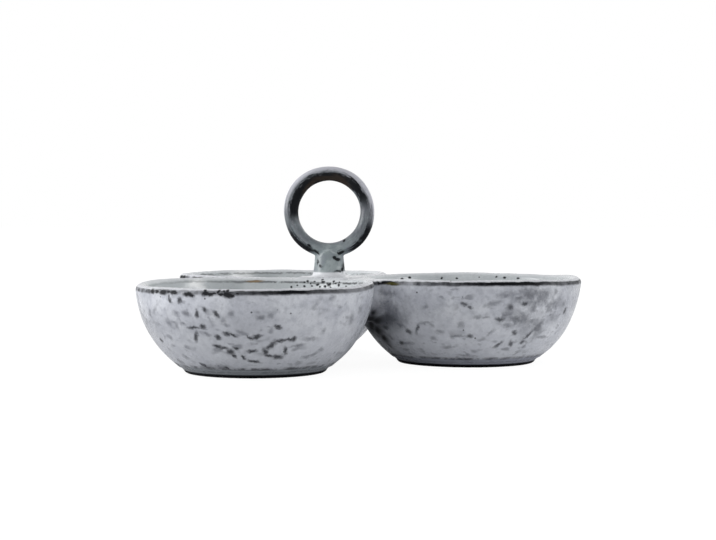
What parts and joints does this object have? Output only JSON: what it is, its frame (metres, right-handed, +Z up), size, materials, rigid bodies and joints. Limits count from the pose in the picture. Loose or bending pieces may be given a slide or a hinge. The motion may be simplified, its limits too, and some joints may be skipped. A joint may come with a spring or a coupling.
{
  "type": "serving bowl",
  "caption": "Clover-shaped serving dish: round glazed stoneware bowls joined at their rims round a landing with an upright ring handle.",
  "frame": {"origin": "on the table, under the middle of the whole outline", "axes": "+Z up; +X towards the right bowl; the ring's face looks along Y"},
  "size_m": [0.2358, 0.253, 0.1098],
  "materials": {
    "bowl_glaze": "glossy blue-grey reactive glaze with dark streaks",
    "joint_glaze": "glossy pale grey reactive glaze",
    "handle_glaze": "glossy grey glaze that breaks to black at the edges"
  },
  "bodies": {
    "root": {"bowl_right": "bowl_glaze", "bowl_back": "bowl_glaze", "bowl_front": "bowl_glaze", "base_right": "bowl_glaze", "base_back": "bowl_glaze", "base_front": "bowl_glaze", "seam_back_right": "joint_glaze", "seam_front_back": "joint_glaze", "seam_front_right": "joint_glaze", "landing": "joint_glaze", "handle_stem": "handle_glaze", "handle_ring": "handle_glaze"}
  },
  "joints": []
}
